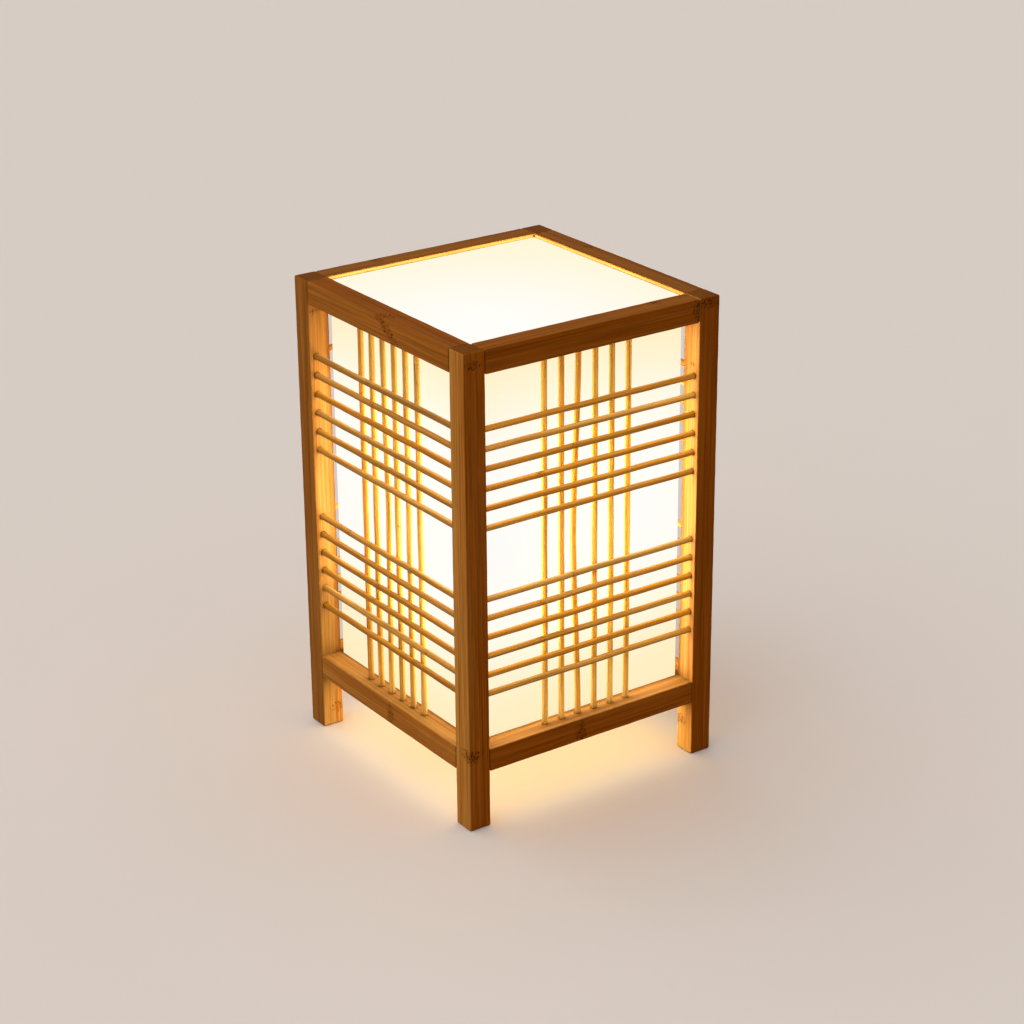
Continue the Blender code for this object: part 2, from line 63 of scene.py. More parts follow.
# Sizes of the frame, as in the CAD part
FACE = 0.090  # lamp's axis to an outer face
STOCK = 0.0145
OPENING = FACE - STOCK  # lamp's axis to an inner face
GAP = 0.0003
HEIGHT = 0.296
LEG = 0.0355  # floor to the lower rails
BAY_FOOT = LEG + STOCK
BAY_HEAD = HEIGHT - STOCK
BAY_MIDDLE = (BAY_FOOT + BAY_HEAD) / 2
ROD_RADIUS = 0.0019
ROD_SEAT = 0.004
LEVEL_DEPTH = 0.0049  # outer face to the axis of the level rods
UPRIGHT_DEPTH = 0.0084
ROD_PITCH = 0.012
BAND_GAP = 0.044
BOWED_ROD = 2  # the upright that is not quite straight, counted from the left
BOWS = {"front": -0.0034, "left": 0.0018}
SIDE_TURNS = {"front": 0, "right": 90, "back": 180, "left": -90}  # degrees about the lamp's axis

# Finish of the stock and rods
EDGE = 0.0007  # radius of the eased edges
EDGE_WANDER = 0.00012  # how far the faces of the stock stray inwards
KNUCKLE_BELL = (0.0075, 0.0075, 0.0036)  # reach of a knuckle across and along the grain
ROD_SIDES = 14
ROD_RINGS = 41
ROD_SWAY = 0.0002  # furthest that a rod's axis strays each way
ROD_SHRINK = 0.00007  # most that a rod's radius shrinks
KNUCKLE_SHARE = 0.55  # share of the rods that have a knuckle ring

# Sheets, as in the CAD part, but with the top one half a millimetre wider on each side
SHEET_HALF = 0.0731
SHEET_HALF_THICKNESS = 0.0005
SHEET_PLANE = 0.0747  # lamp's axis to the middle of a side sheet
SHEET_FOOT = 0.0463
SHEET_HEAD = 0.2919
TOP_SHEET_HALF = 0.0754
TOP_SHEET_FOOT = 0.2922
TOP_SHEET_THICKNESS = 0.0015

# Bar and the nipple, nut and washer that clamp the holder to it, as in the CAD part, with a thread
BAR_REACH = 0.0785  # lamp's axis to the bar's ends
BAR_HALF_WIDTH = 0.015
BAR_HALF = 0.004  # half its thickness
BAR_MIDDLE = 0.042
NIPPLE_RADIUS = 0.005
NIPPLE_BORE = 0.0035
NIPPLE_PITCH = 0.001
NIPPLE_TAIL = 0.002  # below the nut
NIPPLE_HEAD = 0.0548
EYE = NIPPLE_RADIUS + GAP  # hole round the nipple
WASHER_RADIUS = 0.010
WASHER_TOP = BAR_MIDDLE - BAR_HALF - GAP
WASHER_FOOT = WASHER_TOP - 0.001
NUT_FLAT = 0.007  # lamp's axis to the nut's flats
NUT_CORNER = 0.008  # lamp's axis to the nut's corners, before they are cut
NUT_TOP = WASHER_FOOT - GAP
NUT_FOOT = NUT_TOP - 0.003

# Lampholder, as in the CAD part, with a thread and ribs
THREAD = 0.0254 / 7  # pitch of the bulb's screw
HOLDER_RADIUS = 0.0199
HOLDER_FOOT = BAR_MIDDLE + BAR_HALF + GAP
CAP_NECK = 0.009
CAP_NECK_TOP = HOLDER_FOOT + 0.005
CAP_SHOULDER = HOLDER_FOOT + 0.012
CAP_TOP = HOLDER_FOOT + 0.020
CAP_BORE = HOLDER_RADIUS - 0.0035
CAP_FLOOR = HOLDER_FOOT + 0.007
CAP_SEAT = CAP_FLOOR + 0.007
INSERT_FOOT = CAP_TOP + GAP
INSERT_TOP = INSERT_FOOT + 0.003
SHELL_WALL = 0.002
SCREW_FOOT = INSERT_TOP + GAP
SCREW_TOP = SCREW_FOOT + 0.022
SCREW_RADIUS = 0.0143
SCREW_EYE = 0.010
SHELL_BORE = SCREW_RADIUS + GAP
SKIRT_BORE = HOLDER_RADIUS - SHELL_WALL
SKIRT_TOP = INSERT_FOOT + 0.008
SHELL_MOUTH = SCREW_TOP + 0.0017
RIBS = 36
CONTACT_REACH = 0.008  # lamp's axis to the ends of the spring contact
CONTACT_RISE = 0.0025
CONTACT_HALF = 0.0003  # half its thickness

# Bulb, as in the CAD part, with a thread and the light sources on its board
TIP_RADIUS = 0.0048
TIP_FOOT = SCREW_FOOT + CONTACT_RISE + 2 * CONTACT_HALF + GAP
TIP_TOP = TIP_FOOT + 0.002
INSULATOR_RADIUS = 0.0118
INSULATOR_FOOT = TIP_TOP + GAP
INSULATOR_TOP = INSULATOR_FOOT + 0.005
BULB_CAP_RADIUS = 0.0131
BULB_CAP_WALL = 0.0006
BULB_CAP_EYE = 0.009
BULB_CAP_CHAMFER = 0.0015
BULB_CAP_FOOT = INSULATOR_TOP + GAP
BULB_CAP_TOP = BULB_CAP_FOOT + 0.021
BULB_CAP_BORE = BULB_CAP_RADIUS - BULB_CAP_WALL
HOUSING_WALL = 0.0015
HOUSING_FOOT = BULB_CAP_TOP + GAP
HOUSING_HEIGHT = 0.036
HOUSING_TOP = HOUSING_FOOT + HOUSING_HEIGHT
HOUSING_RIM = 0.028
PLUG_RADIUS = BULB_CAP_BORE - GAP
PLUG_FOOT = HOUSING_FOOT - 0.006
LEDGE = HOUSING_TOP - 0.003  # height of the ledge that carries the board
BOARD_RADIUS = HOUSING_RIM - HOUSING_WALL - GAP
BOARD_FOOT = LEDGE + GAP
BOARD_TOP = BOARD_FOOT + 0.0016
CHIPS = 8
CHIP_CIRCLE = 0.016
GLOBE_RADIUS = 0.030
GLOBE_BORE = 0.0288
GLOBE_FOOT = HOUSING_TOP + GAP
GLOBE_MIDDLE = 0.14927

# Hue, lightness and share of light let through of the two kinds of rod, which are one bamboo: the
# uprights' paler hue and the level rods' lower lightness are painted light and shade, for the sheets'
# glow behind the uprights and the shade on the level rods' fronts
LEVEL_ROD = (0.5, 0.70, 0.06)
UPRIGHT_ROD = (0.92, 0.98, 0.85)

# Stick axes: rows give where the local a, b and s (along the grain) point
ALONG_X = np.array([(0, 1, 0), (0, 0, 1), (1, 0, 0)], float)
ALONG_Y = np.array([(-1, 0, 0), (0, 0, 1), (0, 1, 0)], float)
ALONG_Z = np.eye(3)


def skin(rings, start=None, end=None, loop=False):
    """Points, quads and triangles of a tube through rings of points. Point j of ring i is rings[i, j],
    counted counterclockwise as seen from where the tube is going. Poles start and end close it, or loop
    joins its last ring to its first."""
    count, around = rings.shape[:2]
    index = np.arange(count * around).reshape(count, around)
    after = np.roll(index, -1, axis=1)
    rows = np.arange(count if loop else count - 1)
    upper = (rows + 1) % count
    quads = np.stack([index[rows], after[rows], after[upper], index[upper]], axis=-1).reshape(-1, 4)
    points = [rings.reshape(-1, 3)]
    triangles = [np.zeros((0, 3), int)]
    pole = count * around
    for place, first, second in ((start, after[0], index[0]), (end, index[-1], after[-1])):
        if place is not None:
            points.append(np.reshape(place, (1, 3)))
            triangles.append(np.stack([np.full(around, pole), first, second], axis=-1))
            pole += 1
    return {"points": np.concatenate(points), "quads": quads,
            "triangles": np.concatenate(triangles), "marks": {}}


def joined(shapes):
    """Several tubes as one shape, with their point attributes end to end."""
    shift = np.cumsum([0] + [len(shape["points"]) for shape in shapes])
    whole = {"points": np.concatenate([shape["points"] for shape in shapes])}
    for key in ("quads", "triangles"):
        whole[key] = np.concatenate([shape[key] + step for shape, step in zip(shapes, shift)])
    whole["marks"] = {key: np.concatenate([shape["marks"][key] for shape in shapes])
                      for key in shapes[0]["marks"]}
    return whole


def placed(shape, axes, origin):
    """A shape moved from its local a, b, s axes to its place on the lamp."""
    return {**shape, "points": shape["points"] @ axes + np.asarray(origin, float)}


def turned_to(shape, side):
    """A shape made for the front, turned about the lamp's axis to one of its sides."""
    spin = np.array(Matrix.Rotation(math.radians(SIDE_TURNS[side]), 3, "Z")).T
    return placed(shape, spin, (0, 0, 0))


def piece(node, shape, material, body="frame"):
    """One object that stands for a CAD node, smooth shaded, riding on a body."""
    mesh = bpy.data.meshes.new("fine_" + node)
    mesh.from_pydata(shape["points"].tolist(), [], shape["quads"].tolist() + shape["triangles"].tolist())
    for label, values in shape["marks"].items():
        vector = values.ndim == 2
        layer = mesh.attributes.new(label, "FLOAT_VECTOR" if vector else "FLOAT", "POINT")
        field = "vector" if vector else "value"
        layer.data.foreach_set(field, np.ascontiguousarray(values, np.float32).ravel())
    mesh.shade_smooth()
    mesh.materials.append(material)
    item = bpy.data.objects.new("fine_" + node, mesh)
    bpy.context.scene.collection.objects.link(item)
    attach(item, body)
    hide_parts(node)


def ripple(along, size):
    """A smooth wander between 0 and size along a length: the mean of three sines of unlike lengths."""
    lengths = np.array([0.047, 0.026, 0.015])
    phase = chance.uniform(0, 2 * math.pi, 3)
    waves = np.sin(along[..., None] * 2 * math.pi / lengths + phase)
    return size * (0.5 + 0.5 * waves.mean(axis=-1))


def outline(half_a, half_b, radius):
    """Points round a rectangle with rounded corners, counterclockwise. Each corner is an arc of 5 points, and
    each flat has points close to its two ends, which keep its shading flat, and five between them."""
    turn = np.arange(4)[:, None] * math.pi / 2 + np.linspace(0, math.pi / 2, 5)
    signs = np.array([(1, 1), (-1, 1), (-1, -1), (1, -1)])
    centres = signs * (half_a - radius, half_b - radius)
    arcs = centres[:, None] + radius * np.stack([np.cos(turn), np.sin(turn)], axis=-1)
    share = np.array([0.03, 0.18, 0.34, 0.5, 0.66, 0.82, 0.97])[:, None]
    flats = arcs[:, -1:] * (1 - share) + np.roll(arcs[:, :1], -1, axis=0) * share
    return np.concatenate([arcs, flats], axis=1).reshape(-1, 2)


def stick(length, half_a, half_b, radius, step, wander=0.0, knuckles=(), tones_and_painted_light=((0.5, 1.0),) * 4):
    """A rounded rectangle carried along s, eased over a quarter circle at both ends. Its sides wander inwards
    by ripples. The attribute mark is a bell round each knuckle (s, a, b, slant, spread), end is 1 on the flat
    ends, stick holds the local coordinates for the grain, and tone holds the hue and lightness of each face
    (+a, +b, -a, -b) and a seed. These face tones are partly the stock's own tone and partly painted light and
    shade."""
    ease = np.linspace(0, math.pi / 2, 4)
    rise = np.concatenate([[0.0], radius * (1 - np.cos(ease))])
    inset = np.concatenate([[1.6 * radius], radius * (1 - np.sin(ease))])
    middle = np.linspace(1.4 * radius, length - 1.4 * radius, max(2, int(length / step)))
    along = np.concatenate([rise, middle, length - rise[::-1]])
    inward = np.concatenate([inset, np.zeros(len(middle)), inset[::-1]])
    slack_a, slack_b = (ripple(along, wander) for _ in range(2))
    flat = np.stack([outline(half_a - i - u, half_b - i - v, radius)
                     for i, u, v in zip(inward, slack_a, slack_b)])
    rings = np.concatenate([flat, np.broadcast_to(along[:, None, None], (*flat.shape[:2], 1))], axis=-1)
    shape = skin(rings, (0, 0, 0), (0, 0, length))
    local = shape["points"]
    mark = np.zeros(len(local))
    for s, a, b, slant, spread in knuckles:
        far = local - (a, b, s)
        far[:, 2] -= slant * (far[:, 0] + far[:, 1])
        mark = np.maximum(mark, np.exp(-((far / KNUCKLE_BELL / spread) ** 2).sum(axis=1)))
    ends = (local[:, 2] < 1e-7) | (local[:, 2] > length - 1e-7)
    share = np.concatenate([np.linspace(0, 1, 5), np.ones(7)])[:, None]
    faces = np.asarray(tones_and_painted_light, float)[:, None]
    ring = (faces * (1 - share) + np.roll(faces, -1, axis=0) * share).reshape(-1, 2)
    tone = np.concatenate([np.tile(ring, (len(along), 1)), np.broadcast_to(ring.mean(axis=0), (2, 2))])
    shape["marks"] = {"stick": local + (0, 0, chance.uniform(0, 9)), "mark": mark, "end": ends.astype(float),
                      "tone": np.column_stack([tone, np.full(len(local), chance.uniform())])}
    return shape


def rod(length, hue, lightness, through, bow=0.0, bow_foot=0.0):
    """A round bamboo rod along s. Its axis sways by up to 0.2 mm, and its radius shrinks by up to 0.07 mm;
    bow pushes it along a by a squared sine between the faces that it stands between. About half of the rods
    have a knuckle ring, and each differs a little in hue and lightness. through is the share of light that
    it lets through."""
    along = np.linspace(0, length, ROD_RINGS)
    around = np.arange(ROD_SIDES) * 2 * math.pi / ROD_SIDES
    window = np.sin(math.pi * along / length)
    sway_a, sway_b = (window * (ripple(along * 0.35, 2 * ROD_SWAY) - ROD_SWAY) for _ in range(2))
    share = np.clip((along - bow_foot) / (length - 2 * bow_foot), 0, 1)
    sway_a = sway_a + bow * np.sin(math.pi * share) ** 2
    radius = ROD_RADIUS - ripple(along, ROD_SHRINK)
    knuckle = chance.uniform(0.2, 0.8) * length if chance.uniform() < KNUCKLE_SHARE else -1.0
    ring = np.exp(-((along - knuckle) / 0.0016) ** 2)
    radius = radius + 0.00006 * ring
    local = radius[:, None, None] * np.stack([np.cos(around), np.sin(around)], axis=-1)
    rings = np.concatenate([local + np.stack([sway_a, sway_b], axis=-1)[:, None],
                            np.broadcast_to(along[:, None, None], (len(along), len(around), 1))], axis=-1)
    shape = skin(rings, (0, 0, 0), (0, 0, length))
    cross = np.concatenate([local.reshape(-1, 2), np.zeros((2, 2))])
    grain = np.column_stack([cross, shape["points"][:, 2] + chance.uniform(0, 9)])
    count = len(shape["points"])
    tone = (hue + chance.uniform(-0.2, 0.2), lightness * chance.uniform(0.9, 1.1), chance.uniform())
    shape["marks"] = {"stick": grain, "mark": np.concatenate([np.repeat(ring, len(around)), np.zeros(2)]),
                      "end": np.zeros(count), "tone": np.tile(tone, (count, 1)),
                      "through": np.full(count, through)}
    return shape


def rim(place):
    """Painted shade where a rod goes into its hole: a dark flat ring, a flattened ellipse carried round the
    rod.
    """
    around = np.arange(20) * 2 * math.pi / 20
    section = np.arange(8) * 2 * math.pi / 8
    radius = ROD_RADIUS + 0.00012 + 0.0002 * np.cos(section)[:, None]
    height = place + 0.00008 * np.sin(section)[:, None] + 0 * around
    rings = np.stack([radius * np.cos(around), radius * np.sin(around), height], axis=-1)
    shape = skin(rings, loop=True)
    count = len(shape["points"])
    # end is 1, so the ring takes the rods' dark end colour: painted shade
    shape["marks"] = {"stick": shape["points"].copy(), "mark": np.zeros(count), "end": np.ones(count),
                      "tone": np.full((count, 3), 0.5), "through": np.zeros(count)}
    return shape


def eased(profile, ease, closed=True):
    """A profile whose corners are rounded: near each corner it follows a quadratic curve between points one
    ease before and after it, with one more point outside each, which keeps the flats' shading flat."""
    points = np.asarray(profile, float)
    before = np.roll(points, 1, axis=0) - points
    beyond = np.roll(points, -1, axis=0) - points
    reach = np.minimum(np.hypot(*before.T), np.hypot(*beyond.T)) / 3.4
    size = np.minimum(ease, reach)[:, None]
    unit_before = before / np.hypot(*before.T)[:, None]
    unit_beyond = beyond / np.hypot(*beyond.T)[:, None]
    t = np.linspace(0, 1, 4)[:, None, None]
    enter, leave = points + unit_before * size, points + unit_beyond * size
    curve = (1 - t) ** 2 * enter + 2 * t * (1 - t) * points + t ** 2 * leave
    row = np.concatenate([[points + unit_before * size * 1.6], curve, [points + unit_beyond * size * 1.6]])
    row = row.transpose(1, 0, 2)
    if closed:
        return row.reshape(-1, 2)
    return np.concatenate([points[:1], row[1:-1].reshape(-1, 2), points[-1:]])


def turned(profile, steps, loop=True, form=None):
    """A profile of (radius, height) points carried round the lamp's axis, up its outside and down its inside.
    form gives each point's radius from its radius, height and angle. Without loop, the profile starts and
    ends on the axis."""
    profile = np.asarray(profile, float)
    angle = np.arange(steps) * 2 * math.pi / steps
    ends = (None, None) if loop else ((0, 0, profile[0, 1]), (0, 0, profile[-1, 1]))
    body = profile if loop else profile[1:-1]
    radius, height = body[:, :1] + 0 * angle, body[:, 1:] + 0 * angle
    if form is not None:
        radius = form(radius, height, angle)
    rings = np.stack([radius * np.cos(angle), radius * np.sin(angle), height], axis=-1)
    return skin(rings, *ends, loop=loop)


def cut_fine(profile, step):
    """A closed profile with extra points, no further apart than step."""
    points = np.asarray(profile, float)
    pieces = []
    for here, there in zip(points, np.roll(points, -1, axis=0)):
        count = max(1, int(np.hypot(*(there - here)) / step))
        share = np.arange(count)[:, None] / count
        pieces.append(here + (there - here) * share)
    return np.concatenate(pieces)


def add(tree, kind, inputs=None, output=0, **settings):
    """One shader node's output. Settings are its properties, and inputs maps sockets to values or outputs."""
    made = tree.nodes.new("ShaderNode" + kind)
    for key, value in settings.items():
        setattr(made, key, value)
    for key, value in (inputs or {}).items():
        socket = made.inputs[key]
        if isinstance(value, bpy.types.NodeSocket):
            tree.links.new(value, socket)
        else:
            socket.default_value = value
    return made.outputs[output]


def sums(tree, operation, first, second=0.0, clamp=False):
    """A Math node."""
    return add(tree, "Math", {0: first, 1: second}, operation=operation, use_clamp=clamp)


def blend(tree, factor, first, second, mode="MIX"):
    """A colour mix."""
    first, second = ((*value, 1.0) if isinstance(value, tuple) else value for value in (first, second))
    return add(tree, "Mix", {0: factor, 6: first, 7: second}, output=2, data_type="RGBA", blend_type=mode)


def fit(tree, value, low, high, new_low=0.0, new_high=1.0):
    """A clamped Map Range, smooth at both ends."""
    return add(tree, "MapRange", {"Value": value, "From Min": low, "From Max": high, "To Min": new_low,
                                  "To Max": new_high}, interpolation_type="SMOOTHSTEP")


def ramp(tree, factor, stops):
    """A colour ramp through (place, colour) stops."""
    output = add(tree, "ValToRGB", {"Fac": factor})
    elements = output.node.color_ramp.elements
    for _ in stops[2:]:
        elements.new(0.5)
    for element, (place, colour) in zip(elements, stops):
        element.position = place
        element.color = (*colour, 1.0)
    return output


def noise(tree, vector, scale, detail=2.0, roughness=0.5):
    """Noise between 0 and 1 on coordinates stretched by scale."""
    stretched = add(tree, "Mapping", {"Vector": vector, "Scale": scale})
    return add(tree, "TexNoise", {"Vector": stretched, "Scale": 1.0, "Detail": detail,
                                  "Roughness": roughness})


def material(name, roughness=0.5, metallic=0.0, specular=0.5):
    """A new Principled material and its tree and shader."""
    made = bpy.data.materials.new(name)
    made.use_nodes = True
    shader = made.node_tree.nodes["Principled BSDF"]
    shader.inputs["Roughness"].default_value = roughness
    shader.inputs["Metallic"].default_value = metallic
    shader.inputs["Specular IOR Level"].default_value = specular
    return made, made.node_tree, shader


def relief(tree, shader, height, strength, distance):
    """Bump on a shader from a height."""
    bump = add(tree, "Bump", {"Height": height, "Strength": strength, "Distance": distance})
    tree.links.new(bump, shader.inputs["Normal"])


def bamboo(name, stops, strip, pit_size, end_grain_and_painted_shade_tones, specular):
    """Bamboo along the attribute stick: the hue of each face from three stops, shifted by broad streaks and
    glued strips, under fine fibres and hairs, with pits and a shade at the knuckles and open fibre ends on
    the end grain. The faces' hue and lightness partly paint light and shade, and on the rods the end colours
    fall only on the rims, where they paint the shade in the holes. The attribute through, where a stick has
    it, is the share of light that passes into it and out again."""
    made, tree, shader = material(name, specular=specular)
    grain = add(tree, "Attribute", output=1, attribute_name="stick")
    mark = add(tree, "Attribute", output=2, attribute_name="mark")
    end = add(tree, "Attribute", output=2, attribute_name="end")
    # Each face's hue and lightness and a seed; on the frame the hue and lightness partly paint light and
    # shade
    tone = add(tree, "SeparateXYZ", {0: add(tree, "Attribute", output=1, attribute_name="tone")})
    lightness_and_painted_light, seed = tone.node.outputs[1], tone.node.outputs[2]
    fibre = noise(tree, grain, (950, 950, 12), 3.0, 0.6)
    hair = noise(tree, grain, (3200, 3200, 26), 2.0, 0.6)
    streak = noise(tree, grain, (300, 300, 5), 2.0, 0.55)
    axes = add(tree, "SeparateXYZ", {0: grain})
    wide = sums(tree, "ADD", sums(tree, "MULTIPLY", axes, 1 / strip), 0.37)
    pair = add(tree, "CombineXYZ", {0: sums(tree, "FLOOR", wide), 1: sums(tree, "MULTIPLY", seed, 91.0)})
    strip_tone = add(tree, "TexWhiteNoise", {"Vector": pair}, noise_dimensions="2D")
    seam = fit(tree, sums(tree, "PINGPONG", wide, 0.5), 0.0, 0.03, 1.0, 0.0)
    hue = sums(tree, "ADD", tone, fit(tree, streak, 0.2, 0.8, -0.3, 0.3))
    hue = sums(tree, "ADD", hue, fit(tree, strip_tone, 0.0, 1.0, -0.12, 0.12))
    colour = ramp(tree, hue, [(0.0, stops[0]), (0.5, stops[1]), (1.0, stops[2])])
    level = sums(tree, "ADD", sums(tree, "MULTIPLY", fibre, 0.52), sums(tree, "MULTIPLY", hair, 0.33))
    level = sums(tree, "ADD", level, sums(tree, "MULTIPLY", streak, 0.15))
    level = sums(tree, "SUBTRACT", level, sums(tree, "MULTIPLY", seam, 0.06))
    # Fibre lightness times the face's lightness, which on the frame partly paints light and shade
    shade = sums(tree, "MULTIPLY", fit(tree, level, 0.3, 0.7, 0.58, 1.42), lightness_and_painted_light)
    colour = blend(tree, 1.0, colour, shade, "MULTIPLY")
    dark = tuple(c * 0.55 for c in stops[0])
    cells = add(tree, "Mapping", {"Vector": grain, "Scale": (1 / pit_size, 1 / pit_size, 0.55 / pit_size)})
    spot = add(tree, "TexVoronoi", {"Vector": cells, "Scale": 1.0, "Randomness": 1.0})
    patch = noise(tree, grain, (420, 420, 300), 1.0)
    near = sums(tree, "MULTIPLY", mark, fit(tree, patch, 0.22, 0.45))
    pits = sums(tree, "MULTIPLY", fit(tree, spot, 0.26, 0.44, 1.0, 0.0), fit(tree, near, 0.1, 0.35))
    colour = blend(tree, sums(tree, "MULTIPLY", fit(tree, mark, 0.1, 0.9), 0.45), colour, dark)
    colour = blend(tree, sums(tree, "MULTIPLY", pits, 0.85), colour, tuple(c * 0.3 for c in dark))
    tubes = add(tree, "Mapping", {"Vector": grain, "Scale": (1500, 1500, 0)})
    dots = add(tree, "TexVoronoi", {"Vector": tubes, "Scale": 1.0, "Randomness": 0.9})
    # End grain colour on the frame; on the rods it falls only on the rims, as painted shade
    cut = blend(tree, fit(tree, dots, 0.15, 0.5), *end_grain_and_painted_shade_tones)
    colour = blend(tree, sums(tree, "MULTIPLY", end, 0.85), colour, cut)
    tree.links.new(colour, shader.inputs["Base Color"])
    tree.links.new(fit(tree, fibre, 0.2, 0.8, 0.36, 0.56), shader.inputs["Roughness"])
    through = add(tree, "Attribute", output=2, attribute_name="through")
    tree.links.new(through, shader.inputs["Subsurface Weight"])
    shader.inputs["Subsurface Radius"].default_value = (0.8, 0.86, 0.48)
    shader.inputs["Subsurface Scale"].default_value = 0.010
    height = sums(tree, "SUBTRACT", level, sums(tree, "MULTIPLY", pits, 1.2))
    relief(tree, shader, height, 0.25, 0.0002)
    return made


def glowing_sheet(name, centre, flat, near, far, stops):
    """A lit white sheet. Its glow runs through three stops with the distance from a centre, in Object
    coordinates whose level part is flattened, under a faint cloud of paper fibre."""
    made, tree, shader = material(name, roughness=0.62, specular=0.25)
    place = add(tree, "TexCoord", output=3)
    offset = add(tree, "VectorMath", {0: place, 1: centre}, operation="SUBTRACT")
    offset = add(tree, "Mapping", {"Vector": offset, "Scale": (flat, flat, 1.0)})
    away = add(tree, "VectorMath", {0: offset}, output=1, operation="LENGTH")
    cloud = noise(tree, place, (60, 60, 60), 4.0, 0.6)
    fibre = noise(tree, place, (900, 900, 900), 2.0, 0.6)
    drift = sums(tree, "MULTIPLY", sums(tree, "SUBTRACT", cloud, 0.5), 0.10)
    share = sums(tree, "ADD", fit(tree, away, near, far), drift)
    glow = ramp(tree, share, [(0.0, stops[0]), (0.5, stops[1]), (1.0, stops[2])])
    tree.links.new(glow, shader.inputs["Emission Color"])
    shader.inputs["Emission Strength"].default_value = 1.0
    white = blend(tree, fit(tree, fibre, 0.3, 0.7), (0.11, 0.108, 0.10), (0.13, 0.127, 0.12))
    tree.links.new(white, shader.inputs["Base Color"])
    relief(tree, shader, fibre, 0.06, 0.0002)
    return made


def moulded(name, colour, roughness, spread=0.12, grit=2500):
    """Moulded plastic or ceramic: a fine grit in its relief and a slow cloud in its colour and gloss."""
    made, tree, shader = material(name, roughness=roughness)
    place = add(tree, "TexCoord", output=3)
    cloud = noise(tree, place, (90, 90, 90), 3.0)
    grain = noise(tree, place, (grit, grit, grit), 2.0)
    darker = tuple(c * (1 - spread) for c in colour)
    lighter = tuple(min(1.0, c * (1 + spread) + 0.004) for c in colour)
    tree.links.new(blend(tree, cloud, darker, lighter), shader.inputs["Base Color"])
    tree.links.new(fit(tree, cloud, 0.2, 0.8, roughness - 0.06, roughness + 0.08), shader.inputs["Roughness"])
    relief(tree, shader, grain, 0.15, 0.0001)
    return made


def metal(name, colour, roughness):
    """Turned or stamped metal: fine rings round the axis, blotches of tarnish and uneven gloss."""
    made, tree, shader = material(name, roughness=roughness, metallic=1.0)
    place = add(tree, "TexCoord", output=3)
    rings = noise(tree, place, (70, 70, 5200), 2.0)
    blotch = noise(tree, place, (160, 160, 160), 4.0, 0.6)
    dull = tuple(c * 0.62 for c in colour)
    tree.links.new(blend(tree, fit(tree, blotch, 0.3, 0.75), dull, colour), shader.inputs["Base Color"])
    tree.links.new(fit(tree, rings, 0.2, 0.8, roughness - 0.08, roughness + 0.12), shader.inputs["Roughness"])
    relief(tree, shader, rings, 0.12, 0.0001)
    return made


def lit_globe(name, colour, strength):
    """The bulb's opal globe, lit from inside: a little whiter at its crown than at its rim."""
    made, tree, shader = material(name, roughness=0.45)
    place = add(tree, "TexCoord", output=3)
    axes = add(tree, "SeparateXYZ", {0: place}, output=2)
    cloud = noise(tree, place, (120, 120, 120), 3.0)
    drift = sums(tree, "MULTIPLY", sums(tree, "SUBTRACT", cloud, 0.5), 0.1)
    crown = sums(tree, "ADD", fit(tree, axes, 0.135, 0.18), drift)
    glow = ramp(tree, crown, [(0.0, tuple(c * 0.9 for c in colour)), (1.0, colour)])
    tree.links.new(glow, shader.inputs["Emission Color"])
    white = ramp(tree, cloud, [(0.2, (0.86, 0.84, 0.78)), (0.8, (0.93, 0.91, 0.86))])
    tree.links.new(white, shader.inputs["Base Color"])
    shader.inputs["Emission Strength"].default_value = strength
    return made


BAMBOO = bamboo("caramel_bamboo", [(0.20, 0.047, 0.0012), (0.20, 0.062, 0.0070), (0.20, 0.084, 0.0145)],
                strip=0.0047, pit_size=0.0012,
                end_grain_and_painted_shade_tones=[(0.05, 0.012, 0.0005), (0.13, 0.036, 0.0025)], specular=0.008)
# The rods' end colours fall only on the rims round their holes, where they paint shade
ROD_BAMBOO = bamboo("rod_bamboo", [(0.50, 0.180, 0.010), (0.52, 0.212, 0.020), (0.54, 0.300, 0.078)],
                    strip=0.05, pit_size=0.0010,
                    end_grain_and_painted_shade_tones=[(0.05, 0.014, 0.001), (0.09, 0.026, 0.002)], specular=0.1)
# The sheets' glow paints the bulb's light through them, brightest round a centre set toward the front left
# corner, off the lamp's axis
SIDE_SHEET = glowing_sheet("side_sheet", (-0.018, -0.018, 0.175), 0.4, 0.045, 0.120,
                           [(0.905, 0.905, 0.88), (0.91, 0.875, 0.69), (0.915, 0.805, 0.505)])
TOP_SHEET = glowing_sheet("top_sheet", (-0.05, -0.05, 0.294), 1.0, 0.0, 0.19,
                          [(0.92, 0.91, 0.88), (0.92, 0.875, 0.735), (0.92, 0.84, 0.60)])
BLACK = moulded("black_plastic", (0.028, 0.027, 0.026), 0.42)
CERAMIC = moulded("ceramic", (0.80, 0.78, 0.72), 0.4, 0.06, 1500)
WHITE = moulded("white_plastic", (0.80, 0.79, 0.76), 0.38, 0.04)
BOARD = moulded("white_board", (0.76, 0.77, 0.74), 0.5, 0.06, 1200)
BRASS = metal("brass", (0.72, 0.50, 0.19), 0.32)
STEEL = metal("steel", (0.60, 0.60, 0.59), 0.34)
OPAL = lit_globe("lit_opal", (1.0, 0.70, 0.26), 44.0)


